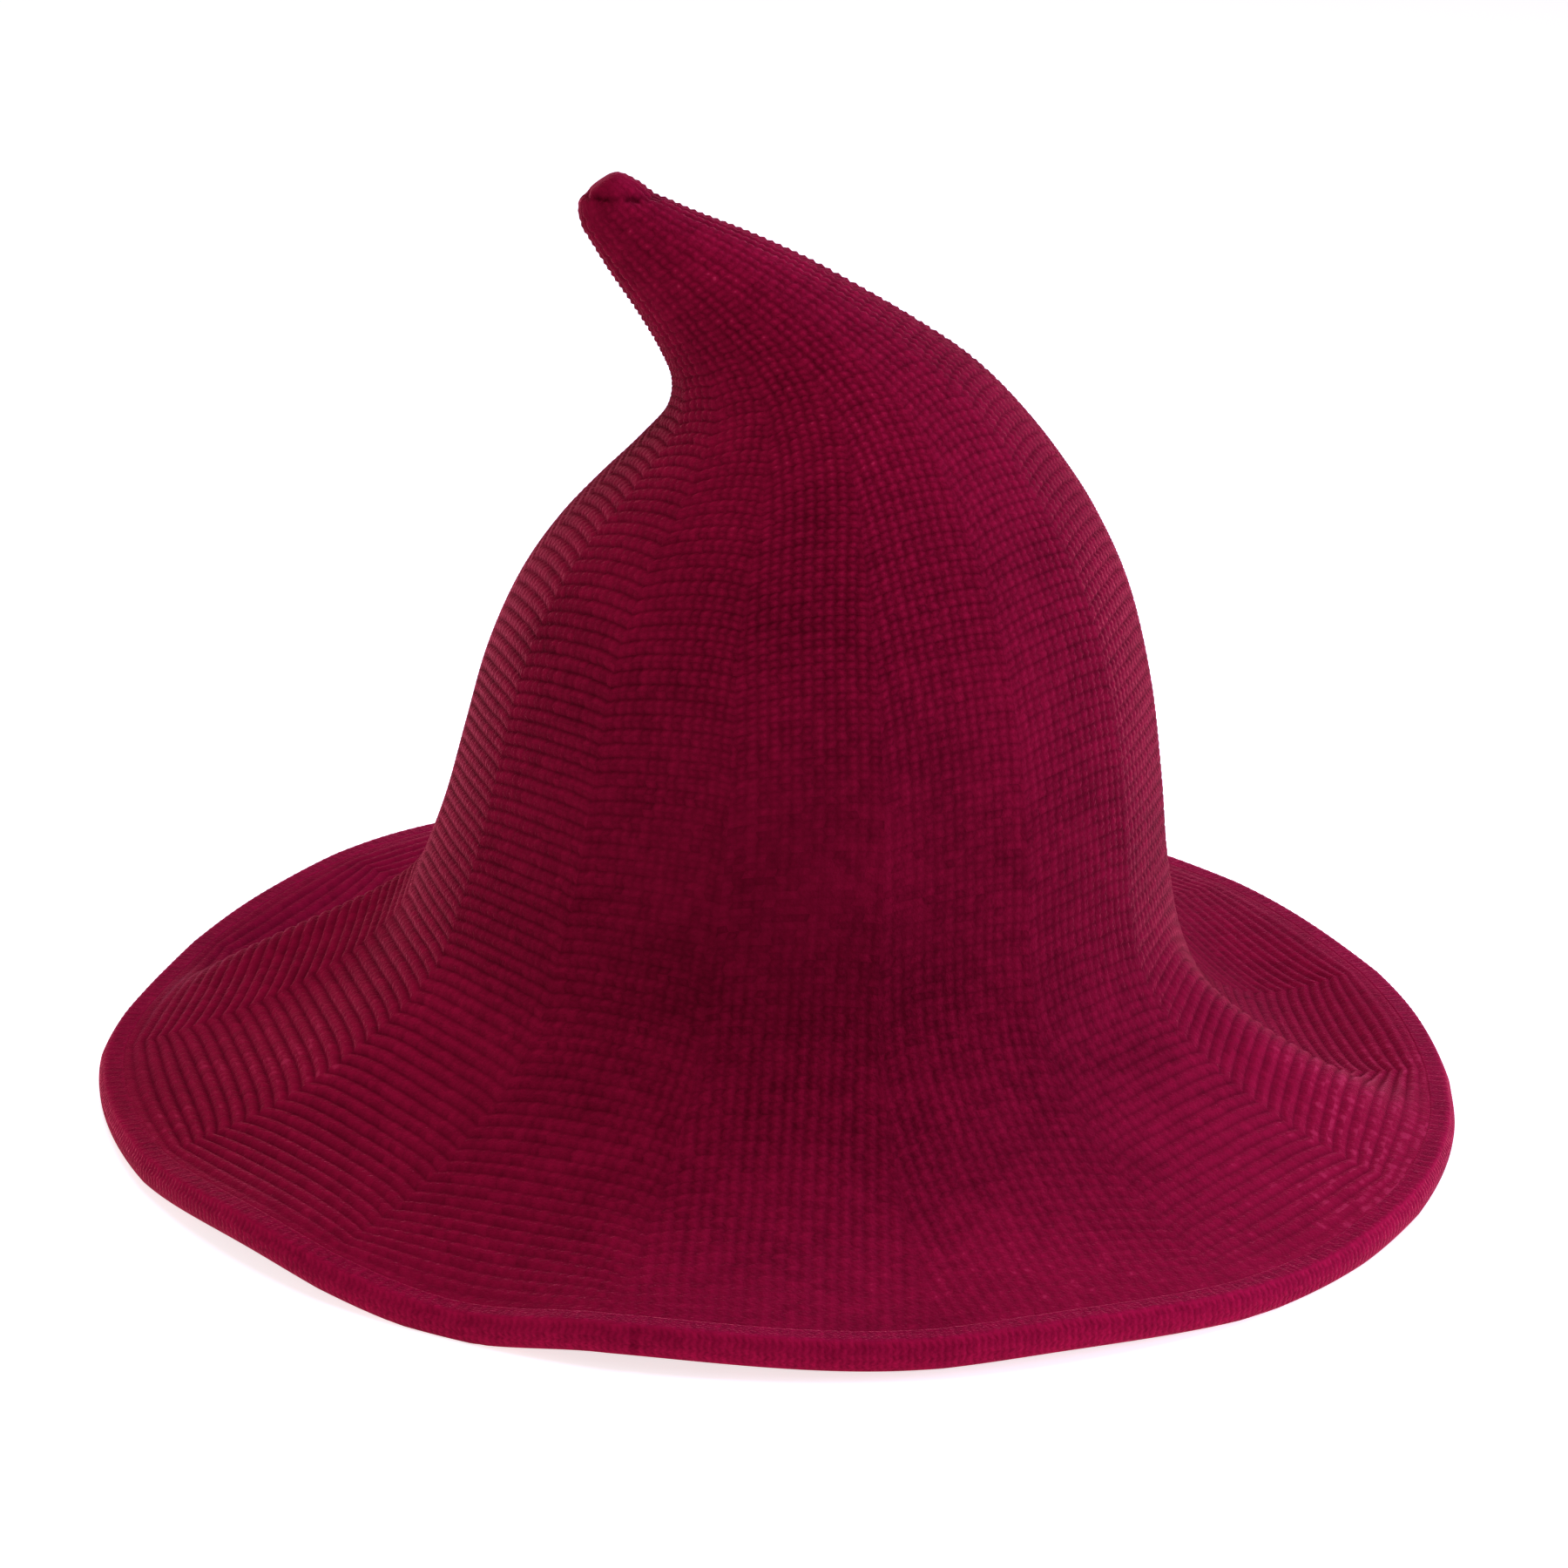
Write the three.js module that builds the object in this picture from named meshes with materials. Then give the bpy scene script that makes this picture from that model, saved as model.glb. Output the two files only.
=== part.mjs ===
// A knitted wizard hat: round crown, peak bent over to one side, wide softly waved brim.
// Millimetres, +Z up. The brim rests on z = 0, the peak leans towards -X, the front faces -Y.
import * as THREE from 'three';
import { LoftGeometry } from 'three/addons/geometries/LoftGeometry.js';

const KNIT_THICKNESS = 2.6;
const HEM_GAP = 0.3;

// The knit is made of wedge-shaped gores side by side round the hat. Each gore lies
// nearly flat between its two edges on the crown, and curves with the hem at the brim.
const GORES = 15;
const CROWN_FLATNESS = 0.35;
const EDGE_FLATNESS = 0.15;

const COLUMNS_PER_GORE = 6;
const OUTER_RINGS = 33;
const INNER_RINGS = 25;

// Cross-sections from the gathered tip down to the brim's edge. Tilt in degrees lifts the +X side.
const SECTIONS = [
  { at: 'tip', centreX: -49.6, centreZ: 227.3, tilt: 38, halfWidth: 0.0, halfDepth: 0.0 },
  { at: 'nub_top', centreX: -49.0, centreZ: 226.4, tilt: 38, halfWidth: 5.8, halfDepth: 5.8 },
  { at: 'nub', centreX: -46.2, centreZ: 222.7, tilt: 38, halfWidth: 8.7, halfDepth: 8.6 },
  { at: 'nub_low', centreX: -43.1, centreZ: 219.4, tilt: 38, halfWidth: 9.8, halfDepth: 9.8 },
  { at: 'neck', centreX: -36.0, centreZ: 213.5, tilt: 38, halfWidth: 12.6, halfDepth: 12.4 },
  { at: 'peak_3', centreX: -26.0, centreZ: 206.3, tilt: 37, halfWidth: 16.6, halfDepth: 16.4 },
  { at: 'peak_2', centreX: -16.0, centreZ: 198.6, tilt: 33, halfWidth: 21.1, halfDepth: 21.0 },
  { at: 'peak_1', centreX: -7.3, centreZ: 191.0, tilt: 26, halfWidth: 26.1, halfDepth: 26.4 },
  { at: 'bend_3', centreX: -1.0, centreZ: 182.8, tilt: 20, halfWidth: 33.5, halfDepth: 33.5 },
  { at: 'bend_2', centreX: 2.2, centreZ: 173.5, tilt: 15, halfWidth: 43.8, halfDepth: 43.8 },
  { at: 'bend_1', centreX: 3.4, centreZ: 162.5, tilt: 11, halfWidth: 54.5, halfDepth: 54.5 },
  { at: 'dome_2', centreX: 3.2, centreZ: 151.0, tilt: 9, halfWidth: 64.3, halfDepth: 64.3 },
  { at: 'dome_1', centreX: 3.2, centreZ: 138.0, tilt: 8, halfWidth: 73.0, halfDepth: 73.0 },
  { at: 'crown_3', centreX: 3.8, centreZ: 121.0, tilt: 7, halfWidth: 80.7, halfDepth: 80.7 },
  { at: 'crown_2', centreX: 4.4, centreZ: 100.0, tilt: 5, halfWidth: 86.2, halfDepth: 86.2 },
  { at: 'crown_1', centreX: 3.8, centreZ: 78.0, tilt: 3, halfWidth: 90.5, halfDepth: 91.0 },
  { at: 'root', centreX: 2.5, centreZ: 60.0, tilt: 1, halfWidth: 94.3, halfDepth: 94.8 },
  { at: 'bell_1', centreX: 2.0, centreZ: 46.0, tilt: 0, halfWidth: 99.0, halfDepth: 99.0 },
  { at: 'bell_2', centreX: 1.5, centreZ: 35.0, tilt: 0, halfWidth: 108.0, halfDepth: 108.0 },
  { at: 'fall', centreX: 1.0, centreZ: 25.5, tilt: 0, halfWidth: 121.0, halfDepth: 121.0 },
  { at: 'shelf_1', centreX: 0.5, centreZ: 17.0, tilt: 0, halfWidth: 138.0, halfDepth: 138.0 },
  { at: 'shelf_2', centreX: 0.0, centreZ: 11.0, tilt: 0, halfWidth: 156.0, halfDepth: 156.0 },
  { at: 'edge', centreX: 0.0, centreZ: 6.8, tilt: 0, halfWidth: 173.0, halfDepth: 173.0 },
];

// Folds of the brim by azimuth in degrees from the front, positive towards +X. The edge lifts off
// the surface and is pushed out or drawn in, and the brim rises or sinks in its middle and in its
// outer part. An edge lift below zero is a stretch that rests and is flattened on the surface.
const FOLDS = [
  { azimuth: -180, edgeLift: -0.6, edgePush: 0.0, middleLift: 0.0, outerLift: 0.0 },
  { azimuth: -160, edgeLift: 2.6, edgePush: 0.0, middleLift: -3.0, outerLift: 0.0 },
  { azimuth: -140, edgeLift: 3.8, edgePush: -1.0, middleLift: -8.0, outerLift: 0.0 },
  { azimuth: -122, edgeLift: 1.5, edgePush: -4.5, middleLift: -13.0, outerLift: -2.0 },
  { azimuth: -110, edgeLift: 0.8, edgePush: -7.5, middleLift: -11.0, outerLift: -3.5 },
  { azimuth: -103, edgeLift: 0.6, edgePush: -8.0, middleLift: -4.5, outerLift: -3.0 },
  { azimuth: -96.5, edgeLift: 0.4, edgePush: -7.0, middleLift: 7.5, outerLift: 2.5 },
  { azimuth: -90, edgeLift: -0.2, edgePush: -4.8, middleLift: 4.0, outerLift: 1.0 },
  { azimuth: -80, edgeLift: -0.6, edgePush: -3.0, middleLift: -0.5, outerLift: 0.0 },
  { azimuth: -60, edgeLift: 1.5, edgePush: -2.3, middleLift: 0.5, outerLift: -1.0 },
  { azimuth: -44, edgeLift: 4.2, edgePush: -1.8, middleLift: -2.0, outerLift: -1.0 },
  { azimuth: -25, edgeLift: -0.6, edgePush: -1.3, middleLift: 0.0, outerLift: 0.0 },
  { azimuth: -12, edgeLift: 3.6, edgePush: -1.2, middleLift: 0.0, outerLift: 0.0 },
  { azimuth: 8, edgeLift: 2.0, edgePush: -0.5, middleLift: 0.0, outerLift: 0.0 },
  { azimuth: 22, edgeLift: 2.4, edgePush: -0.5, middleLift: 0.0, outerLift: 0.0 },
  { azimuth: 44, edgeLift: -0.6, edgePush: 0.5, middleLift: -1.0, outerLift: 0.0 },
  { azimuth: 61, edgeLift: 1.0, edgePush: -1.2, middleLift: 0.5, outerLift: 0.0 },
  { azimuth: 73, edgeLift: 1.0, edgePush: -3.5, middleLift: 3.0, outerLift: 1.5 },
  { azimuth: 83, edgeLift: 0.8, edgePush: -6.5, middleLift: -8.0, outerLift: -2.5 },
  { azimuth: 94, edgeLift: 0.6, edgePush: -7.5, middleLift: -15.0, outerLift: -1.5 },
  { azimuth: 112, edgeLift: -0.6, edgePush: -6.3, middleLift: -14.0, outerLift: -1.0 },
  { azimuth: 132, edgeLift: 0.5, edgePush: -2.2, middleLift: -7.0, outerLift: 0.0 },
  { azimuth: 156, edgeLift: 2.5, edgePush: 0.0, middleLift: -2.0, outerLift: 0.0 },
];

// The hem's round section: distance out from the brim's edge and height over the resting surface.
const HEM_SECTION = [
  { at: 'sewn_side', out: HEM_GAP, up: 5.8 },
  { at: 'crest', out: 2.2, up: 7.2 },
  { at: 'shoulder', out: 4.3, up: 6.2 },
  { at: 'belly', out: 5.2, up: 3.6 },
  { at: 'foot_outer', out: 4.0, up: 0.0 },
  { at: 'foot_inner', out: 1.5, up: 0.0 },
  { at: 'tuck', out: HEM_GAP, up: 2.2 },
];

const WOOL_COLOUR = 0x74102a;
const WOOL_ROUGHNESS = 0.95;

const GORE_ANGLE = 2 * Math.PI / GORES;
const COLUMNS = GORES * COLUMNS_PER_GORE;
const EDGE_ROW = SECTIONS.length - 1;
const ROOT_ROW = SECTIONS.findIndex((section) => section.at === 'root');
const INNER_TOP_ROW = SECTIONS.findIndex((section) => section.at === 'nub');
const NORMAL_STEP = 0.01;
// Brings the outer fold's curve, highest at three quarters of the brim's width, to 1 there.
const OUTER_FOLD_SCALE = 1 / (0.75 ** 6 * 0.25 ** 2);

// Two curves carry the section table: the centre line with its tilt, and the half axes.
const centreCurve = new THREE.CatmullRomCurve3(
  SECTIONS.map((s) => new THREE.Vector3(s.centreX, s.centreZ, s.tilt)), false, 'catmullrom');
const girthCurve = new THREE.CatmullRomCurve3(
  SECTIONS.map((s) => new THREE.Vector3(s.halfWidth, s.halfDepth, 0)), false, 'catmullrom');

// Smooth value of one fold column at an azimuth, going round the brim without a break.
function foldAt(column, degrees) {
  const count = FOLDS.length;
  const turn = THREE.MathUtils.euclideanModulo(degrees - FOLDS[0].azimuth, 360) + FOLDS[0].azimuth;
  const row = FOLDS.findLastIndex((fold) => fold.azimuth <= turn);
  const pick = (step) => {
    const index = row + step;
    const fold = FOLDS[THREE.MathUtils.euclideanModulo(index, count)];
    return { angle: fold.azimuth + 360 * Math.floor(index / count), value: fold[column] };
  };
  const [before, from, to, after] = [pick(-1), pick(0), pick(1), pick(2)];
  const span = to.angle - from.angle;
  const t = (turn - from.angle) / span;
  const startSlope = span * (to.value - before.value) / (to.angle - before.angle);
  const endSlope = span * (after.value - from.value) / (after.angle - from.angle);
  return (2 * t ** 3 - 3 * t ** 2 + 1) * from.value + (t ** 3 - 2 * t ** 2 + t) * startSlope
    + (3 * t ** 2 - 2 * t ** 3) * to.value + (t ** 3 - t ** 2) * endSlope;
}

// Outer knit surface at a section row (a whole number on each row of the table) and azimuth.
function surfacePoint(row, azimuth) {
  const degrees = THREE.MathUtils.radToDeg(azimuth);
  const centre = centreCurve.getPoint(row / EDGE_ROW);
  const girth = girthCurve.getPoint(row / EDGE_ROW);
  const tilt = THREE.MathUtils.degToRad(centre.z);
  const brim = THREE.MathUtils.clamp((row - ROOT_ROW) / (EDGE_ROW - ROOT_ROW), 0, 1);
  const inGore = THREE.MathUtils.euclideanModulo(azimuth + GORE_ANGLE / 2, GORE_ANGLE) - GORE_ANGLE / 2;
  const flatness = THREE.MathUtils.lerp(CROWN_FLATNESS, EDGE_FLATNESS, brim);
  const gore = 1 - flatness + flatness * Math.cos(GORE_ANGLE / 2) / Math.cos(inGore);
  const push = foldAt('edgePush', degrees) * brim ** 2;
  const across = (girth.x * gore + push) * Math.sin(azimuth);
  const along = -(girth.y * gore + push) * Math.cos(azimuth);
  const fold = foldAt('edgeLift', degrees) * brim ** 2
    + foldAt('middleLift', degrees) * (4 * brim * (1 - brim)) ** 2
    + foldAt('outerLift', degrees) * OUTER_FOLD_SCALE * brim ** 6 * (1 - brim) ** 2;
  return new THREE.Vector3(
    centre.x + across * Math.cos(tilt), along, centre.y + across * Math.sin(tilt) + fold);
}

// Inner knit surface: one knit thickness in along the outer surface's normal.
function innerPoint(row, azimuth) {
  const rowStart = Math.max(row - NORMAL_STEP, 0);
  const rowEnd = Math.min(row + NORMAL_STEP, EDGE_ROW);
  const down = surfacePoint(rowEnd, azimuth).sub(surfacePoint(rowStart, azimuth));
  const round = surfacePoint(row, azimuth + NORMAL_STEP).sub(surfacePoint(row, azimuth - NORMAL_STEP));
  const normal = down.cross(round).normalize();
  return surfacePoint(row, azimuth).addScaledVector(normal, -KNIT_THICKNESS);
}

// Hem surface: the brim's edge carried out and down by one row of the hem section.
function hemPoint(profile, azimuth) {
  const edge = surfacePoint(EDGE_ROW, azimuth);
  const lift = edge.z - SECTIONS[EDGE_ROW].centreZ;
  edge.x += profile.out * Math.sin(azimuth);
  edge.y -= profile.out * Math.cos(azimuth);
  edge.z = Math.max(profile.up + lift, 0);
  return edge;
}

// A ring of points round the hat, counterclockwise from above.
function ring(pointAt) {
  return Array.from({ length: COLUMNS }, (_, column) => pointAt(2 * Math.PI * column / COLUMNS));
}

function rowsBetween(first, last, count) {
  return Array.from({ length: count }, (_, i) => THREE.MathUtils.lerp(first, last, i / (count - 1)));
}

function woolMaterial() {
  return new THREE.MeshStandardMaterial({ color: WOOL_COLOUR, roughness: WOOL_ROUGHNESS, metalness: 0 });
}

// One knitted wall: down the inside from the tip to the edge, and back up the outside.
const tipTilt = THREE.MathUtils.degToRad(SECTIONS[0].tilt);
const innerTip = surfacePoint(0, 0)
  .add(new THREE.Vector3(Math.sin(tipTilt), 0, -Math.cos(tipTilt)).multiplyScalar(KNIT_THICKNESS));
const innerRings = rowsBetween(INNER_TOP_ROW, EDGE_ROW, INNER_RINGS)
  .map((row) => ring((azimuth) => innerPoint(row, azimuth)));
const outerRings = rowsBetween(EDGE_ROW, 0, OUTER_RINGS)
  .map((row) => ring((azimuth) => surfacePoint(row, azimuth)));
const knitBody = new THREE.Mesh(
  new LoftGeometry([ring(() => innerTip.clone()), ...innerRings, ...outerRings]), woolMaterial());
knitBody.name = 'knit_body';

// The doubled edge, a closed band round the brim.
const hemRings = [...HEM_SECTION, HEM_SECTION[0]].reverse()
  .map((profile) => ring((azimuth) => hemPoint(profile, azimuth)));
const brimHem = new THREE.Mesh(new LoftGeometry(hemRings), woolMaterial());
brimHem.name = 'brim_hem';

const hat = new THREE.Group();
hat.add(knitBody, brimHem);

export default hat;
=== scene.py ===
import math

import bmesh
import bpy
import numpy as np
from mathutils import Matrix, Vector


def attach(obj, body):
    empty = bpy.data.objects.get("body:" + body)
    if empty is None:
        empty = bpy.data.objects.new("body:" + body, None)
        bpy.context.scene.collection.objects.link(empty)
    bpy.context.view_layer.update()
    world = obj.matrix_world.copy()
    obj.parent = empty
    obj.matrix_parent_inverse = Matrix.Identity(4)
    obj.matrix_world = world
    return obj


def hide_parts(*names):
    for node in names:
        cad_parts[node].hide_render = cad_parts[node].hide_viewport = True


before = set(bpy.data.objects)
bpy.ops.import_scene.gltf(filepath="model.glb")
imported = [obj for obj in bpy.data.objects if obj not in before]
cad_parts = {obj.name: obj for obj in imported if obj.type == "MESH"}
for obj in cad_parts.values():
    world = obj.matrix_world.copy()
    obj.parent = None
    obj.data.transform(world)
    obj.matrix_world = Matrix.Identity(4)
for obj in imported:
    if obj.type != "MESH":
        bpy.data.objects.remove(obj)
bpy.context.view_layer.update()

# The knitted wall: peak, crown and brim in one piece of burgundy wool, knitted sideways in fifteen
# wedges, so the stitch columns run round the hat and bend at each line between two wedges. It is
# drawn together at the tip. It is made three wedges at a time, with the stitches raised.
MM = 0.001
WEDGES = 15
WEDGES_OF_A_GROUP = 3
WEDGE_ANGLE = 2 * math.pi / WEDGES
CROWN_FLATNESS = 0.35
EDGE_FLATNESS = 0.15
KNIT_THICKNESS = 2.6
# One row for each cross-section from the tip down: centre, tilt in degrees and half sizes, in mm.
SECTION_NAMES = ("tip", "nub_top", "nub", "nub_low", "neck", "peak_3", "peak_2", "peak_1", "bend_3",
                 "bend_2", "bend_1", "dome_2", "dome_1", "crown_3", "crown_2", "crown_1", "root",
                 "bell_1", "bell_2", "fall", "shelf_1", "shelf_2", "edge")
SECTIONS = np.array([
    # centre_x, centre_z, tilt, half_width, half_depth
    (-49.6, 227.3, 38, 0.0, 0.0),
    (-49.0, 226.4, 38, 5.8, 5.8),
    (-46.2, 222.7, 38, 8.7, 8.6),
    (-43.1, 219.4, 38, 9.8, 9.8),
    (-36.0, 213.5, 38, 12.6, 12.4),
    (-26.0, 206.3, 37, 16.6, 16.4),
    (-16.0, 198.6, 33, 21.1, 21.0),
    (-7.3, 191.0, 26, 26.1, 26.4),
    (-1.0, 182.8, 20, 33.5, 33.5),
    (2.2, 173.5, 15, 43.8, 43.8),
    (3.4, 162.5, 11, 54.5, 54.5),
    (3.2, 151.0, 9, 64.3, 64.3),
    (3.2, 138.0, 8, 73.0, 73.0),
    (3.8, 121.0, 7, 80.7, 80.7),
    (4.4, 100.0, 5, 86.2, 86.2),
    (3.8, 78.0, 3, 90.5, 91.0),
    (2.5, 60.0, 1, 94.3, 94.8),
    (2.0, 46.0, 0, 99.0, 99.0),
    (1.5, 35.0, 0, 108.0, 108.0),
    (1.0, 25.5, 0, 121.0, 121.0),
    (0.5, 17.0, 0, 138.0, 138.0),
    (0.0, 11.0, 0, 156.0, 156.0),
    (0.0, 6.8, 0, 173.0, 173.0),
])
NUB_ROW = SECTION_NAMES.index("nub")
ROOT_ROW = SECTION_NAMES.index("root")
EDGE_ROW = SECTION_NAMES.index("edge")
TIP_TILT = math.radians(SECTIONS[0, 2])
EDGE_HEIGHT, EDGE_RADIUS = SECTIONS[EDGE_ROW, 1], SECTIONS[EDGE_ROW, 3]
# The brim's soft folds round the hat: azimuth in degrees, 0 at the front and 90 at the right, and
# then mm.
FOLDS = np.array([
    # azimuth, edge_lift, edge_push, middle_lift, outer_lift
    (-180, -0.6, 0.0, 0.0, 0.0),
    (-160, 2.6, 0.0, -3.0, 0.0),
    (-140, 3.8, -1.0, -8.0, 0.0),
    (-122, 1.5, -4.5, -13.0, -2.0),
    (-110, 0.8, -7.5, -11.0, -3.5),
    (-103, 0.6, -8.0, -4.5, -3.0),
    (-96.5, 0.4, -7.0, 7.5, 2.5),
    (-90, -0.2, -4.8, 4.0, 1.0),
    (-80, -0.6, -3.0, -0.5, 0.0),
    (-60, 1.5, -2.3, 0.5, -1.0),
    (-44, 4.2, -1.8, -2.0, -1.0),
    (-25, -0.6, -1.3, 0.0, 0.0),
    (-12, 3.6, -1.2, 0.0, 0.0),
    (8, 2.0, -0.5, 0.0, 0.0),
    (22, 2.4, -0.5, 0.0, 0.0),
    (44, -0.6, 0.5, -1.0, 0.0),
    (61, 1.0, -1.2, 0.5, 0.0),
    (73, 1.0, -3.5, 3.0, 1.5),
    (83, 0.8, -6.5, -8.0, -2.5),
    (94, 0.6, -7.5, -15.0, -1.5),
    (112, -0.6, -6.3, -14.0, -1.0),
    (132, 0.5, -2.2, -7.0, 0.0),
    (156, 2.5, 0.0, -2.0, 0.0),
])
# The middle lift is full halfway out over the brim, the outer lift three quarters of the way out.
OUTER_LIFT_PLACE = 0.75
OUTER_LIFT_SCALE = 1 / (OUTER_LIFT_PLACE**6 * (1 - OUTER_LIFT_PLACE) ** 2)


def hermite(start, start_slope, end, end_slope, t):
    return ((2 * t**3 - 3 * t**2 + 1) * start + (t**3 - 2 * t**2 + t) * start_slope
            + (3 * t**2 - 2 * t**3) * end + (t**3 - t**2) * end_slope)


def section_at(row):
    """The cross-section at a row of the table, which may lie between two of its rows."""
    first = np.clip(np.floor(row).astype(int), 0, EDGE_ROW - 1)
    padded = np.vstack([2 * SECTIONS[0] - SECTIONS[1], SECTIONS, 2 * SECTIONS[-1] - SECTIONS[-2]])
    before, start, end, after = (padded[first + step] for step in range(4))
    return hermite(start, (end - before) / 2, end, (after - start) / 2, (row - first)[..., None])


def fold_at(azimuth):
    """Edge lift, edge push, middle lift and outer lift of the brim at an azimuth in radians."""
    angle = np.concatenate([FOLDS[-2:, 0] - 360, FOLDS[:, 0], FOLDS[:2, 0] + 360])
    value = np.vstack([FOLDS[-2:, 1:], FOLDS[:, 1:], FOLDS[:2, 1:]])
    turn = (np.degrees(azimuth) + 180) % 360 - 180
    first = np.clip(np.searchsorted(angle, turn, side="right") - 1, 1, len(angle) - 3)
    steps = (-1, 0, 1, 2)
    before_at, start_at, end_at, after_at = (angle[first + step][..., None] for step in steps)
    before, start, end, after = (value[first + step] for step in steps)
    span = end_at - start_at
    start_slope = span * (end - before) / (end_at - before_at)
    end_slope = span * (after - start) / (after_at - start_at)
    return hermite(start, start_slope, end, end_slope, (turn[..., None] - start_at) / span)


def wall_point(row, azimuth):
    """A point of the hat's outer form, in mm."""
    centre_x, centre_z, tilt, half_width, half_depth = np.moveaxis(section_at(row), -1, 0)
    edge_lift, edge_push, middle_lift, outer_lift = np.moveaxis(fold_at(azimuth), -1, 0)
    brim = np.clip((row - ROOT_ROW) / (EDGE_ROW - ROOT_ROW), 0, 1)
    in_wedge = (azimuth + WEDGE_ANGLE / 2) % WEDGE_ANGLE - WEDGE_ANGLE / 2
    flatness = CROWN_FLATNESS + (EDGE_FLATNESS - CROWN_FLATNESS) * brim
    chord = 1 - flatness + flatness * math.cos(WEDGE_ANGLE / 2) / np.cos(in_wedge)
    across = (half_width * chord + edge_push * brim**2) * np.sin(azimuth)
    along = -(half_depth * chord + edge_push * brim**2) * np.cos(azimuth)
    fold = (edge_lift * brim**2 + middle_lift * (4 * brim * (1 - brim)) ** 2
            + outer_lift * OUTER_LIFT_SCALE * brim**6 * (1 - brim) ** 2)
    tilt = np.radians(tilt)
    return np.stack([centre_x + across * np.cos(tilt), along,
                     centre_z + across * np.sin(tilt) + fold], -1)


def wall_normal(row, azimuth):
    """The outer form's normal; at the tip itself it is read a little way below."""
    row_step, turn_step, first_row = 0.02, 0.01, 0.05
    row = np.clip(row, first_row, EDGE_ROW)
    down = (wall_point(np.minimum(row + row_step, EDGE_ROW), azimuth)
            - wall_point(np.maximum(row - row_step, 0), azimuth))
    round_it = wall_point(row, azimuth + turn_step) - wall_point(row, azimuth - turn_step)
    normal = np.cross(down, round_it)
    return normal / np.maximum(np.linalg.norm(normal, axis=-1, keepdims=True), 1e-9)


# Stitch columns (wales) are counted down the hat from the tip, stitches along each column (courses)
# from the middle of each wedge. A wale is the same width all over; the courses widen to the brim.
# Each wedge's courses are numbered apart, so that no two wedges look alike. Points nearer to each
# other than the merge distance, in mm, become one.
WALES = 88
RINGS_OF_A_WALE = (0.0, 0.25, 0.5, 0.75)
TIP_COURSE, ROOT_COURSE, EDGE_COURSE = 2.45, 2.6, 2.95
COLUMNS_OF_A_COURSE = 4
COURSES_APART = 40
INNER_RINGS = 36
WALL_MERGE = 0.04
# Each wale is two rows of slanting legs. Down the hat: the height of the rows in mm, and how far
# the gaps between the legs show. The gaps are shallow between the two rows and end short of the
# lines between wedges. The slant is in courses, gap and fade are in mm, and the level is the share
# of a row's height that lies below the mean surface.
ROW_WALES, ROW_HEIGHTS = (1, 4, 20, 30, 50, 60, 68), (0, 0.3, 0.55, 0.55, 0.45, 0.3, 0.08)
LEG_WALES, LEG_SHARES = (1, 4, 20, 34, 60, 88), (0.3, 1.5, 1.9, 1.6, 1.3, 1.2)
ROW_LEVEL = 0.8
LEG_SLANT, LEG_GAP, LEG_FADE = 0.3, 0.2, 1.4
GAP_BETWEEN_ROWS = 0.35
# Where the knit lies slack the two rows close up to one round cord: azimuth in degrees, the height
# of the cords on the crown and the brim in mm, how far the gaps between the legs show, and how much
# lighter the outer brim is made towards the hem.
CORDS = np.array([
    # azimuth, crown_cord, brim_cord, legs, edge_lightening
    (-130, 0.35, 0.6, 0.5, 0.2),
    (-95, 0.45, 0.65, 0.75, 0.1),
    (-84, 0.55, 0.85, 0.85, 0.05),
    (-68, 0.6, 1.15, 0.85, 0.0),
    (-50, 0.55, 0.9, 0.75, 0.1),
    (-36, 0.45, 0.52, 0.6, 0.3),
    (-22, 0.22, 0.46, 0.65, 0.35),
    (-8, 0.12, 0.2, 0.68, 0.5),
    (12, 0.1, 0.13, 0.68, 0.65),
    (34, 0.2, 0.25, 0.6, 0.65),
    (46, 0.25, 0.5, 0.6, 0.6),
    (58, 0.3, 0.68, 0.75, 0.55),
    (80, 0.34, 0.85, 0.85, 0.45),
    (112, 0.34, 0.6, 0.55, 0.2),
    (150, 0.32, 0.42, 0.5, 0.2),
])
CORD_LEVEL, CORD_ROUNDNESS = 0.9, 0.8
# The cords rise from the peak down, and reach their height on the brim halfway out. A full cord, in
# mm, hides most of the two rows.
CORD_FIRST_WALE, CORD_FULL_WALE, CORD_AT_FIRST = 10, 24, 0.2
BRIM_CORD_PLACE = 0.5
FULL_CORD, CORD_HIDES = 0.6, 0.8
# From the foot of the crown down, slack cords look lighter and tight knit deeper. The outer brim
# is made lighter towards the hem, and the peak gets painted sheen where its fuzz would catch the
# light from above. The inside is an even, deep tone.
EVEN_CORD, SLACK_WALES = 0.45, (44, 56)
EDGE_LIGHTER_WALES = (71, 84)
PEAK_PAINTED_SHEEN, PEAK_PAINTED_SHEEN_WALES = 0.17, (22, 38)
INSIDE_TONE = -0.2
# The stitches sink into the hem over some wales, fewer where the cords are high.
FADE_CORDS, FADE_WALES, FADE_CURVE = (0.15, 0.4), (9, 2.5), 0.6
# The turn of the rows at each line between two wedges pulls the wales down to a small cusp, which
# eases out over the last wales. By the hem the wales lie level with the edge.
CUSP, CUSP_REACH, CUSP_LAST_WALES = 1.1, 4.0, 5
LEVEL_BY_HEM = 18
# At the front the foot of the crown is stretched, so the stitches lie flatter there: how much
# flatter, the reach in degrees, the middle wale and the reach in wales.
STRETCH, STRETCH_REACH, STRETCH_WALE, STRETCH_WALES = 0.75, 32, 54, 9
# The last wales at the tip are drawn together by a thread: a level crease with puckers, deepest at
# the front, under a small rounded cap.
CREASE_HEIGHT, CREASE_WIDTH, CREASE_DEPTH, CREASE_BEHIND = 224.9, 0.8, 1.2, 0.35
PUCKERS, PUCKERING = 9, 0.3

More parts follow.
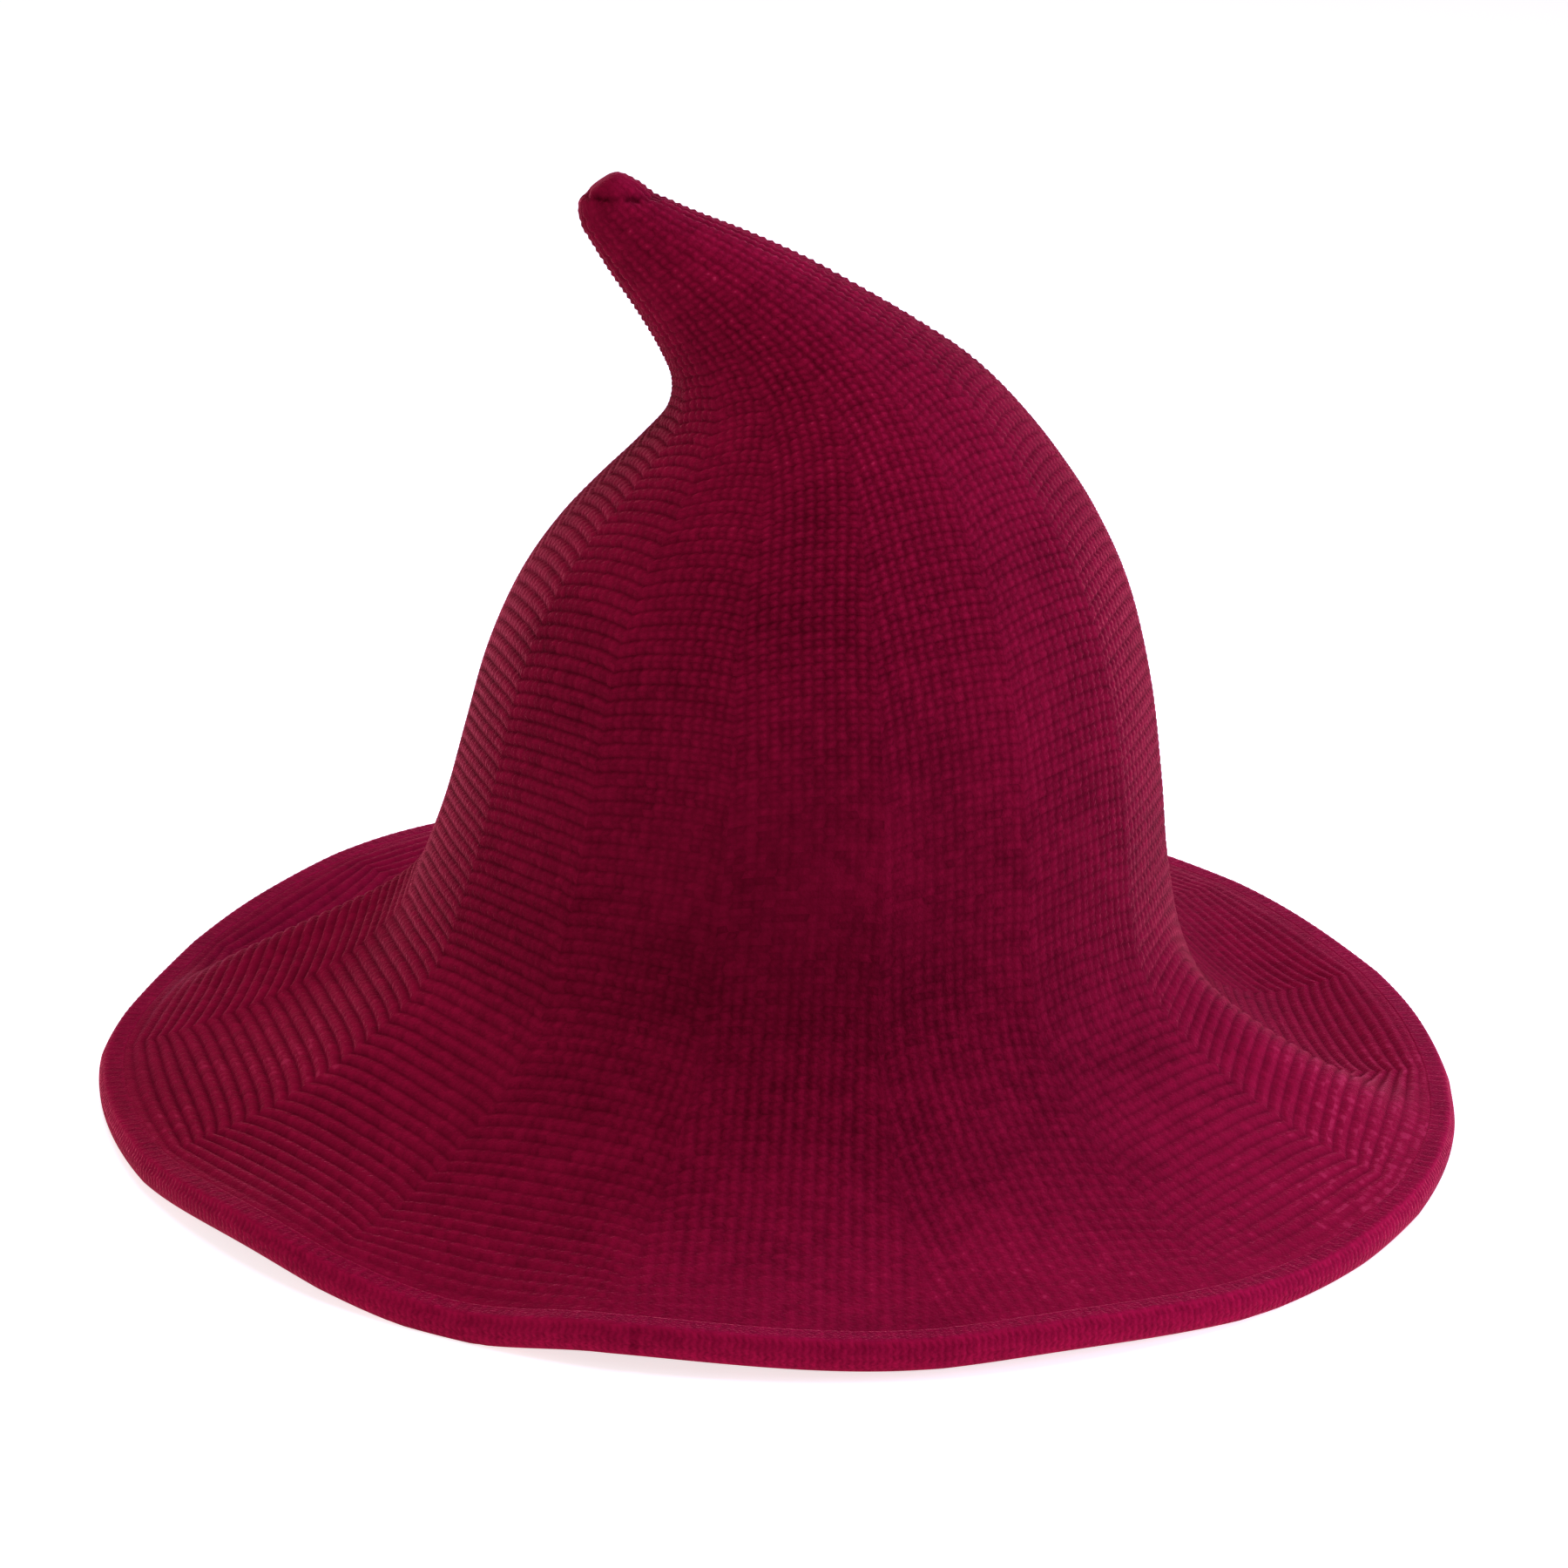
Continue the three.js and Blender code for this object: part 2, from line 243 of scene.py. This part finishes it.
# The lengths down the wall, measured on the middle lines of the wedges.
ROWS_MEASURED = 1200
fine_rows = np.linspace(0, EDGE_ROW, ROWS_MEASURED)
wedge_middles = np.arange(WEDGES) * WEDGE_ANGLE
meridians = wall_point(*np.meshgrid(fine_rows, wedge_middles, indexing="ij"))
steps = np.linalg.norm(np.diff(meridians, axis=0), axis=-1).mean(axis=1)
arc = np.concatenate([[0], np.cumsum(steps)])
WALE = arc[-1] / WALES
ROOT_WALE = np.interp(ROOT_ROW, fine_rows, arc) / WALE
radii = section_at(fine_rows)[:, 3:5].mean(axis=1)
half_chords = radii * math.sin(WEDGE_ANGLE / 2)
# A wale lies straight across its wedge, so it leaves the level circle towards both sides of it.
straightening = 0.5 * radii * np.gradient(radii, arc)
straightening = straightening * np.clip((arc[-1] - arc) / LEVEL_BY_HEM, 0, 1)
rings = np.concatenate([wale + np.array(RINGS_OF_A_WALE) for wale in range(WALES)] + [[WALES]])
outer_rings = len(rings) - 1
course_widths = np.interp(arc / WALE, [0, ROOT_WALE, WALES],
                          [TIP_COURSE, ROOT_COURSE, EDGE_COURSE])
half_columns = math.ceil((half_chords / course_widths).max() * COLUMNS_OF_A_COURSE)
wedge_columns = 2 * half_columns


def flat_sheet(name, columns, lines):
    """A flat grid as a new mesh, with the column and the line from the top of each point."""
    bm = bmesh.new()
    bmesh.ops.create_grid(bm, x_segments=columns, y_segments=lines, size=1)
    mesh = bpy.data.meshes.new(name)
    bm.to_mesh(mesh)
    bm.free()
    flat = np.empty(len(mesh.vertices) * 3)
    mesh.vertices.foreach_get("co", flat)
    flat = flat.reshape(-1, 3)
    column = np.rint((flat[:, 0] + 1) / 2 * columns).astype(int)
    line = np.rint((1 - flat[:, 1]) / 2 * lines).astype(int)
    return mesh, column, line


def mark_stitches(mesh, course, wale, relief, legs):
    """Writes what the wool reads onto a sheet: where each stitch lies, how far it is raised, from
    which the wool paints shade into the grooves and light onto the crests, and how far the gaps
    between its legs show."""
    corners = np.empty(len(mesh.loops), int)
    mesh.loops.foreach_get("vertex_index", corners)
    stitches = np.stack([course, wale], -1)[corners].astype(np.float32)
    mesh.uv_layers.new(name="stitches").data.foreach_set("uv", stitches.ravel())
    for attribute_name, values in (("relief", relief), ("legs", legs)):
        attribute = mesh.attributes.new(attribute_name, "FLOAT", "POINT")
        attribute.data.foreach_set("value", values.astype(np.float32))


def finished_sheet(name, mesh, merge):
    """The sheet as a piece, with its seams and poles closed and its faces outwards and smooth."""
    bm = bmesh.new()
    bm.from_mesh(mesh)
    bmesh.ops.remove_doubles(bm, verts=bm.verts, dist=merge * MM)
    bmesh.ops.recalc_face_normals(bm, faces=bm.faces)
    for face in bm.faces:
        face.smooth = True
    bm.to_mesh(mesh)
    bm.free()
    sheet = bpy.data.objects.new(name, mesh)
    bpy.context.collection.objects.link(sheet)
    return sheet


def stitch_height(wale, course, row_height, leg_share, cord_height):
    """Height of the raised stitches over the mean knit surface, in mm: two rows of slanting legs to
    each wale, over a round cord as wide as the wale."""
    from_middle = np.abs(2 * (wale % 1) - 1)
    leg = np.cos(2 * np.pi * (course - LEG_SLANT * from_middle))
    row_of_legs = np.sin(np.pi * from_middle)
    gap_share = GAP_BETWEEN_ROWS + (1 - GAP_BETWEEN_ROWS) * row_of_legs
    return (row_height * (row_of_legs - ROW_LEVEL) + LEG_GAP * leg * leg_share * gap_share
            + cord_height * ((1 - from_middle**2) ** CORD_ROUNDNESS - CORD_LEVEL))


def wall_group(name, first_wedge):
    """Three wedges of the wall, outer face, edge and inner face, as one sheet."""
    mesh, column, line = flat_sheet(
        name, WEDGES_OF_A_GROUP * wedge_columns, outer_rings + INNER_RINGS)
    ends = np.empty(len(mesh.edges) * 2, int)
    mesh.edges.foreach_get("vertices", ends)
    at_brim_edge = (line[ends.reshape(-1, 2)] == outer_rings).all(axis=1)
    mesh.edges.foreach_set("use_edge_sharp", at_brim_edge)

    # Where each point lies: its wale down the hat, its wedge, and its run across the wedge in mm.
    outer = line <= outer_rings
    wale = np.where(outer, rings[np.minimum(line, outer_rings)],
                    WALES * (1 - (line - outer_rings) / INNER_RINGS))
    row = np.interp(wale * WALE, arc, fine_rows)
    wedge = np.minimum(column // wedge_columns, WEDGES_OF_A_GROUP - 1)
    wedge_column = column - wedge * wedge_columns
    half_chord = np.interp(row, fine_rows, half_chords)
    course_width = np.interp(row, fine_rows, course_widths)
    run = (wedge_column - half_columns) * course_width / COLUMNS_OF_A_COURSE
    run = np.where(wedge_column == 0, -half_chord, run)
    run = np.where(wedge_column == wedge_columns, half_chord, run)
    run = np.clip(run, -half_chord, half_chord)
    from_line = half_chord - np.abs(run)
    turn = np.arctan(run / np.maximum(half_chord, 1e-6) * math.tan(WEDGE_ANGLE / 2))
    azimuth = (first_wedge + wedge) * WEDGE_ANGLE + turn
    bow = np.interp(wale * WALE, arc, straightening) * (turn**2 - WEDGE_ANGLE**2 / 12)
    cusp = CUSP * np.exp(-from_line / CUSP_REACH)
    cusp_wales = [CORD_FIRST_WALE, CORD_FULL_WALE, WALES - CUSP_LAST_WALES, WALES]
    bow = bow + cusp * np.interp(wale, cusp_wales, [0, 1, 1, 0])
    row = np.interp(wale * WALE + np.where(outer, bow, 0), arc, fine_rows)

    # How far the stitches are raised there.
    out_on_brim = (wale - ROOT_WALE) / (WALES - ROOT_WALE)
    on_brim = np.clip(out_on_brim / BRIM_CORD_PLACE, 0, 1)
    degrees = np.degrees(azimuth)
    crown_cord, brim_cord, legs_here, edge_lightening = (
        np.interp(degrees, CORDS[:, 0], CORDS[:, item], period=360) for item in (1, 2, 3, 4))
    cord_height = crown_cord + (brim_cord - crown_cord) * on_brim
    cord_height = cord_height * np.interp(wale, [CORD_FIRST_WALE, CORD_FULL_WALE],
                                          [CORD_AT_FIRST, 1])
    not_cord = 1 - CORD_HIDES * np.clip(cord_height / FULL_CORD, 0, 1)
    from_front = (degrees + 180) % 360 - 180
    flatter = STRETCH * np.exp(-((from_front / STRETCH_REACH) ** 2)
                               - ((wale - STRETCH_WALE) / STRETCH_WALES) ** 2)
    leg_share = np.interp(wale, LEG_WALES, LEG_SHARES) * legs_here * not_cord * (1 - flatter)
    leg_share = leg_share * np.clip(from_line / LEG_FADE, 0, 1)
    row_height = np.interp(wale, ROW_WALES, ROW_HEIGHTS) * not_cord * (1 - flatter)
    raised = stitch_height(wale, run / course_width, row_height, leg_share,
                           cord_height * (1 - flatter))
    fade_reach = np.interp(cord_height, FADE_CORDS, FADE_WALES)
    raised = raised * np.clip((WALES - wale) / fade_reach, 0, 1) ** FADE_CURVE
    form = wall_point(row, azimuth)
    crease = np.exp(-((form[:, 2] - CREASE_HEIGHT) / CREASE_WIDTH) ** 2)
    crease = crease * (CREASE_BEHIND + (1 - CREASE_BEHIND) * (1 + np.cos(azimuth)) / 2)
    pucker = 1 - PUCKERING + PUCKERING * np.cos(PUCKERS * azimuth)
    # The crease is sunk into the mesh and, carried into the tone, gets painted shade.
    raised = raised - CREASE_DEPTH * crease * pucker

    # The two faces: the raised outer one, and the smooth inner one, drawn together under the tip.
    outside = form + wall_normal(row, azimuth) * raised[:, None]
    inner_row = np.maximum(row, NUB_ROW)
    inside = wall_point(inner_row, azimuth) - wall_normal(inner_row, azimuth) * KNIT_THICKNESS
    inner_tip = wall_point(np.zeros(1), np.zeros(1)) + KNIT_THICKNESS * np.array(
        [math.sin(TIP_TILT), 0, -math.cos(TIP_TILT)])
    draw = np.clip(row / NUB_ROW, 0, 1)[:, None]
    inside = inner_tip + (inside - inner_tip) * draw
    mesh.vertices.foreach_set("co", (np.where(outer[:, None], outside, inside) * MM).ravel())

    lighter = (cord_height - EVEN_CORD) * np.interp(wale, SLACK_WALES, [0, 1])
    lighter = lighter + edge_lightening * np.interp(wale, EDGE_LIGHTER_WALES, [0, 1])
    # Painted sheen on the peak: lighter where its fuzz would catch the light from above.
    lighter = lighter + PEAK_PAINTED_SHEEN * np.interp(wale, PEAK_PAINTED_SHEEN_WALES, [1, 0])
    mark_stitches(mesh, run / course_width + COURSES_APART * (first_wedge + wedge), wale,
                  np.where(outer, raised + lighter, INSIDE_TONE), leg_share)
    return finished_sheet(name, mesh, WALL_MERGE)


# The wool's tone runs from 0, deep, to 1, fuzzed and with painted sheen: the relief, in mm, sets
# it, with painted shade in the grooves and painted light on the crests, then the drift of the dye,
# the fibres, each strand and the legs of the stitches, with painted shade between them, change it.
GROOVE, CREST, GROOVE_PAINTED_SHADE, CREST_PAINTED_LIGHT = -1.0, 0.8, 0.06, 0.89
DRIFT_TONE, DRIFT_SCALE, DRIFT_DETAIL = 0.4, 38, 3
FIBRE_TONE, FIBRE_DETAIL = 0.45, 3
STRAND_TONE, STITCH_PAINTED_SHADE = 0.2, 0.16
DEEP_TONE, BRIGHT_TONE, FUZZ_AND_SHEEN_TONE = 0.1, 0.9, 1.0
# Specks of fibre to a course and to a wale, fewer to a wale from the crown's middle down. Then how
# far the legs wobble, in courses, and the fuzz that stands on the yarn.
COURSE_FIBRES, WALE_FIBRES, BRIM_WALE_FIBRES, BRIM_FIBRE_WALE = 1.3, 1.2, 0.6, 40
LEG_WOBBLE, WOBBLE_SCALE, WOBBLE_DETAIL = 0.5, 170, 2
FUZZ_SCALE, FUZZ_DETAIL, STITCH_BUMP = 1500, 5, 0.25


def worked_out(tree, operation, *values):
    """The output of a maths node whose inputs are sockets or plain numbers."""
    node = tree.nodes.new("ShaderNodeMath")
    node.operation = operation
    for socket, value in zip(node.inputs, values):
        if isinstance(value, bpy.types.NodeSocket):
            tree.links.new(value, socket)
        else:
            socket.default_value = value
    return node.outputs[0]


def placed(tree, x, y):
    """A place socket made of two number sockets."""
    node = tree.nodes.new("ShaderNodeCombineXYZ")
    tree.links.new(x, node.inputs["X"])
    tree.links.new(y, node.inputs["Y"])
    return node.outputs["Vector"]


def noise(tree, place, scale, detail):
    """Noise over a place socket, as much below zero as above."""
    node = tree.nodes.new("ShaderNodeTexNoise")
    node.inputs["Scale"].default_value = scale
    node.inputs["Detail"].default_value = detail
    tree.links.new(place, node.inputs["Vector"])
    return worked_out(tree, "SUBTRACT", node.outputs["Fac"], 0.5)


def carried(tree, attribute_name):
    """The value that a sheet's points carry under a name."""
    node = tree.nodes.new("ShaderNodeAttribute")
    node.attribute_name = attribute_name
    return node.outputs["Fac"]


def knit_wool(name, deep, bright, fuzz_and_sheen):
    """Brushed wool yarn in stitches: colour drifts from strand to strand; shade is painted into the
    grooves and the gaps between the legs of the stitches, light onto the crests and legs, and sheen
    onto the brightest tops."""
    wool = bpy.data.materials.new(name)
    wool.use_nodes = True
    tree = wool.node_tree
    shader = tree.nodes["Principled BSDF"]
    shader.inputs["Roughness"].default_value = 0.95
    shader.inputs["Specular IOR Level"].default_value = 0.03
    shader.inputs["Sheen Weight"].default_value = 1.0
    shader.inputs["Sheen Roughness"].default_value = 0.22
    shader.inputs["Sheen Tint"].default_value = (1.0, 0.2, 0.26, 1)

    own_space = tree.nodes.new("ShaderNodeTexCoord").outputs["Object"]
    stitches = tree.nodes.new("ShaderNodeUVMap")
    stitches.uv_map = "stitches"
    stitch_place = tree.nodes.new("ShaderNodeSeparateXYZ")
    tree.links.new(stitches.outputs["UV"], stitch_place.inputs["Vector"])
    course, wale = stitch_place.outputs["X"], stitch_place.outputs["Y"]

    # The legs, slanting as they are raised in the mesh, each a little out of line.
    from_middle = worked_out(tree, "MULTIPLY_ADD", worked_out(tree, "FRACT", wale), 2, -1)
    from_middle = worked_out(tree, "ABSOLUTE", from_middle)
    phase = worked_out(tree, "MULTIPLY_ADD", from_middle, -LEG_SLANT, course)
    wobble = noise(tree, own_space, WOBBLE_SCALE, WOBBLE_DETAIL)
    phase = worked_out(tree, "MULTIPLY_ADD", wobble, LEG_WOBBLE, phase)
    leg = worked_out(tree, "COSINE", worked_out(tree, "MULTIPLY", phase, 2 * math.pi))
    row_of_legs = worked_out(tree, "SINE", worked_out(tree, "MULTIPLY", from_middle, math.pi))
    # The legs get painted light and the gaps between them painted shade; the same pattern bumps the
    # surface.
    stitch = worked_out(tree, "MULTIPLY", leg, row_of_legs)
    stitch = worked_out(tree, "MULTIPLY", stitch, carried(tree, "legs"))
    leg_row = worked_out(tree, "FLOOR", worked_out(tree, "MULTIPLY", wale, 2))
    one_leg = tree.nodes.new("ShaderNodeTexWhiteNoise")
    one_leg.noise_dimensions = "2D"
    tree.links.new(placed(tree, worked_out(tree, "ROUND", phase), leg_row),
                   one_leg.inputs["Vector"])
    strand = worked_out(tree, "SUBTRACT", one_leg.outputs["Value"], 0.5)

    # The fibres follow the stitches round the hat.
    brim_offset = (WALE_FIBRES - BRIM_WALE_FIBRES) * BRIM_FIBRE_WALE
    down = worked_out(tree, "MULTIPLY_ADD", wale, BRIM_WALE_FIBRES, brim_offset)
    down = worked_out(tree, "MINIMUM", down, worked_out(tree, "MULTIPLY", wale, WALE_FIBRES))
    fibre_place = placed(tree, worked_out(tree, "MULTIPLY", course, COURSE_FIBRES), down)

    # Painted shade in the grooves and painted light on the crests, set by the relief.
    painted_relief_shade = tree.nodes.new("ShaderNodeMapRange")
    painted_relief_shade.inputs["From Min"].default_value = GROOVE
    painted_relief_shade.inputs["From Max"].default_value = CREST
    painted_relief_shade.inputs["To Min"].default_value = GROOVE_PAINTED_SHADE
    painted_relief_shade.inputs["To Max"].default_value = CREST_PAINTED_LIGHT
    tree.links.new(carried(tree, "relief"), painted_relief_shade.inputs["Value"])
    tone = painted_relief_shade.outputs["Result"]
    for change, weight in ((noise(tree, own_space, DRIFT_SCALE, DRIFT_DETAIL), DRIFT_TONE),
                           (noise(tree, fibre_place, 1, FIBRE_DETAIL), FIBRE_TONE),
                           (strand, STRAND_TONE), (stitch, STITCH_PAINTED_SHADE)):
        tone = worked_out(tree, "MULTIPLY_ADD", change, weight, tone)
    # The brightest stop is partly pale fibre fuzz and partly painted sheen on the brightest tops.
    dye = tree.nodes.new("ShaderNodeValToRGB")
    dye.color_ramp.elements[0].position = DEEP_TONE
    dye.color_ramp.elements[0].color = (*deep, 1)
    dye.color_ramp.elements[1].position = BRIGHT_TONE
    dye.color_ramp.elements[1].color = (*bright, 1)
    dye.color_ramp.elements.new(FUZZ_AND_SHEEN_TONE).color = (*fuzz_and_sheen, 1)
    tree.links.new(tone, dye.inputs["Fac"])
    tree.links.new(dye.outputs["Color"], shader.inputs["Base Color"])

    fibre_ends = noise(tree, own_space, FUZZ_SCALE, FUZZ_DETAIL)
    bump = tree.nodes.new("ShaderNodeBump")
    bump.inputs["Strength"].default_value = 0.6
    bump.inputs["Distance"].default_value = 0.6 * MM
    tree.links.new(worked_out(tree, "MULTIPLY_ADD", stitch, STITCH_BUMP, fibre_ends),
                   bump.inputs["Height"])
    tree.links.new(bump.outputs["Normal"], shader.inputs["Normal"])
    return wool


body_wool = knit_wool("burgundy_knit_wool", deep=(0.075, 0.0006, 0.008),
                      bright=(0.25, 0.0035, 0.03), fuzz_and_sheen=(0.34, 0.016, 0.055))
for group_name, first_wedge in (("knit_wall_front", -1), ("knit_wall_right", 2),
                                ("knit_wall_back_right", 5), ("knit_wall_back_left", 8),
                                ("knit_wall_left", 11)):
    group = wall_group(group_name, first_wedge)
    group.data.materials.append(body_wool)
    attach(group, "root")
    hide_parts("knit_body")

# The hem: the brim's edge turned under and sewn down all round, a soft doubled band of the same
# wool, with short slanting stitches across its face and a raised row along the corner above it.
HEM_SECTION = np.array([
    # out, up
    (-1.1, 6.5), (-1.0, 6.95), (1.0, 7.15), (3.3, 6.9), (4.9, 5.0),
    (5.0, 2.4), (4.0, 0.0), (1.5, 0.0), (0.3, 2.2), (0.2, 6.0),
])
HEM_SIDES = 36
HEM_LEGS = 680
COLUMNS_OF_A_HEM_LEG = 3
HEM_MERGE = 0.01
# The rows of stitches go up the face of the band and in over its top, from the corner between them.
# The face, the top and its inner lip: where each starts, and the mm over which it blends in.
HEM_ROW, CORNER_OUT = 2.4, 3.3
FACE_OUT, FACE_BLEND, FOOT_BLEND = 3.0, 1.2, 1.5
TOP_UP, TOP_BLEND, LIP_OUT, LIP_BLEND = 6.6, 0.3, -1.0, 0.6
# Heights in mm: the legs and the groove between their rows on the face, the legs on the top, and
# the raised row with its place. The band swells outwards, and upwards by a share of that.
FACE_LEG, FACE_LEG_SLANT, FACE_GROOVE, TOP_LEG = 0.09, 0.45, 0.1, 0.08
RAISED_ROW, RAISED_OUT, RAISED_UP, RAISED_SPREAD = 0.34, 3.2, 6.9, 0.4
UPWARD_SHARE = 0.5
# The hem's relief also sets its tone: painted shade in its grooves and join, painted light on its
# legs and raised row. The top is a deeper tone.
HEM_RELIEF_PAINTED_SHADE, TOP_DEEPER = 1.6, 0.3
FACE_LEGS_SHOWN, TOP_LEGS_SHOWN = 0.6, 0.4
# The join of the band, a shallow groove: its azimuth in degrees, then mm.
HEM_JOIN, HEM_JOIN_WIDTH, HEM_JOIN_DEPTH = -10, 0.9, 0.35

hem_columns = HEM_LEGS * COLUMNS_OF_A_HEM_LEG
hem_mesh, column, line = flat_sheet("hem_band", hem_columns, HEM_SIDES)
azimuth = column % hem_columns / hem_columns * 2 * math.pi
side = (HEM_SIDES - line) % HEM_SIDES / HEM_SIDES
count = len(HEM_SECTION)
corner = np.floor(side * count).astype(int)
between = (side * count - corner)[:, None]
before, start, end, after = (HEM_SECTION[(corner + step) % count] for step in (-1, 0, 1, 2))
out, up = hermite(start, (end - before) / 2, end, (after - start) / 2, between).T

face_side = np.clip((out - FACE_OUT) / FACE_BLEND, 0, 1) * np.clip(up / FOOT_BLEND, 0, 1)
top_side = np.clip((up - TOP_UP) / TOP_BLEND, 0, 1) * np.clip((out - LIP_OUT) / LIP_BLEND, 0, 1)
top_side = top_side * (1 - face_side)
hem_leg = azimuth / (2 * math.pi) * HEM_LEGS
hem_row = (up - np.minimum(out, CORNER_OUT)) / HEM_ROW
in_row = np.abs(2 * (hem_row % 1) - 1)
ridge = FACE_LEG * np.cos(2 * np.pi * (hem_leg - FACE_LEG_SLANT * in_row)) * face_side
ridge -= FACE_GROOVE * in_row**2 * face_side
ridge += TOP_LEG * np.cos(math.pi * hem_leg) * top_side
from_raised_row = (out - RAISED_OUT) ** 2 + (up - RAISED_UP) ** 2
ridge += RAISED_ROW * np.exp(-from_raised_row / RAISED_SPREAD)
from_join = (azimuth - math.radians(HEM_JOIN) + math.pi) % (2 * math.pi) - math.pi
join_groove = np.exp(-((from_join * EDGE_RADIUS / HEM_JOIN_WIDTH) ** 2))
ridge -= HEM_JOIN_DEPTH * join_groove * face_side

last_shelf = EDGE_RADIUS - SECTIONS[EDGE_ROW - 1, 3]
hem_base = wall_point(EDGE_ROW + np.minimum(out, 0) / last_shelf, azimuth)
out_of_edge = np.maximum(out, 0) + ridge * np.clip(out, 0, 1)
hem_points = hem_base.copy()
hem_points[:, 0] += out_of_edge * np.sin(azimuth)
hem_points[:, 1] -= out_of_edge * np.cos(azimuth)
hem_points[:, 2] = np.maximum(hem_base[:, 2] + up - EDGE_HEIGHT + UPWARD_SHARE * ridge, 0)
hem_mesh.vertices.foreach_set("co", (hem_points * MM).ravel())
mark_stitches(hem_mesh, np.where(column == hem_columns, HEM_LEGS, hem_leg), hem_row,
              HEM_RELIEF_PAINTED_SHADE * ridge - TOP_DEEPER * top_side,
              np.maximum(FACE_LEGS_SHOWN * face_side, TOP_LEGS_SHOWN * top_side))
hem = finished_sheet("hem_band", hem_mesh, HEM_MERGE)
# The hem's wool is a lighter copy of the body's: partly its stitches lying the other way, partly
# painted light for the bright front of the band.
hem.data.materials.append(knit_wool("burgundy_hem_wool_painted_light", deep=(0.13, 0.001, 0.016),
                                    bright=(0.36, 0.005, 0.046), fuzz_and_sheen=(0.45, 0.016, 0.07)))
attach(hem, "root")
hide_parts("brim_hem")

# The studio: a plain white table under the hat, soft light from above, from both sides and from
# behind at the right, and the camera in front, looking down a little. In metres and watts.
TABLE_HALF = 4
bm = bmesh.new()
bmesh.ops.create_grid(bm, x_segments=1, y_segments=1, size=TABLE_HALF)
table_mesh = bpy.data.meshes.new("table_top")
bm.to_mesh(table_mesh)
bm.free()
table = bpy.data.objects.new("table_top", table_mesh)
bpy.context.collection.objects.link(table)
table_paint = bpy.data.materials.new("white_table")
table_paint.use_nodes = True
paint = table_paint.node_tree.nodes["Principled BSDF"]
paint.inputs["Base Color"].default_value = (0.9, 0.9, 0.9, 1)
paint.inputs["Roughness"].default_value = 0.8
paint.inputs["Emission Color"].default_value = (1, 1, 1, 1)
paint.inputs["Emission Strength"].default_value = 0.72
table.data.materials.append(table_paint)

room = bpy.data.worlds.new("white_room")
bpy.context.scene.world = room
room.use_nodes = True
room.node_tree.nodes["Background"].inputs["Color"].default_value = (1, 1, 1, 1)
room.node_tree.nodes["Background"].inputs["Strength"].default_value = 0.22
bpy.context.scene.view_settings.view_transform = "Standard"

SOFTBOX_SIZE = 0.8
HAT_MIDDLE = Vector((0, 0, 0.1))
for box_name, place, power, colour in (
        ("top_softbox", (0, 0, 1.6), 14.5, (1, 0.6, 1)),
        ("right_softbox", (1.5, -0.2, 0.4), 19, (0.67, 0.55, 1)),
        ("left_softbox", (-1.5, 0.1, 0.4), 3.5, (1, 1, 1)),
        ("back_right_softbox", (0.95, 0.75, 0.95), 12, (0.33, 0.5, 1))):
    lamp = bpy.data.lights.new(box_name, "AREA")
    lamp.shape = "DISK"
    lamp.size = SOFTBOX_SIZE
    lamp.energy = power
    lamp.color = colour
    box = bpy.data.objects.new(box_name, lamp)
    box.location = place
    box.rotation_euler = (HAT_MIDDLE - Vector(place)).to_track_quat("-Z", "Y").to_euler()
    bpy.context.collection.objects.link(box)

CAMERA_EYE = Vector((0, -0.9164, 0.3973))
CAMERA_TARGET = Vector((-0.0010, 0, 0.0752))
CAMERA_LEAN = math.radians(1.28)
camera_data = bpy.data.cameras.new("table_camera")
camera_data.sensor_width = 36
camera_data.lens = 87.95
camera = bpy.data.objects.new("table_camera", camera_data)
camera.location = CAMERA_EYE
facing = (CAMERA_TARGET - CAMERA_EYE).to_track_quat("-Z", "Y").to_matrix()
camera.rotation_euler = (facing @ Matrix.Rotation(CAMERA_LEAN, 3, "Z")).to_euler()
bpy.context.collection.objects.link(camera)
bpy.context.scene.camera = camera
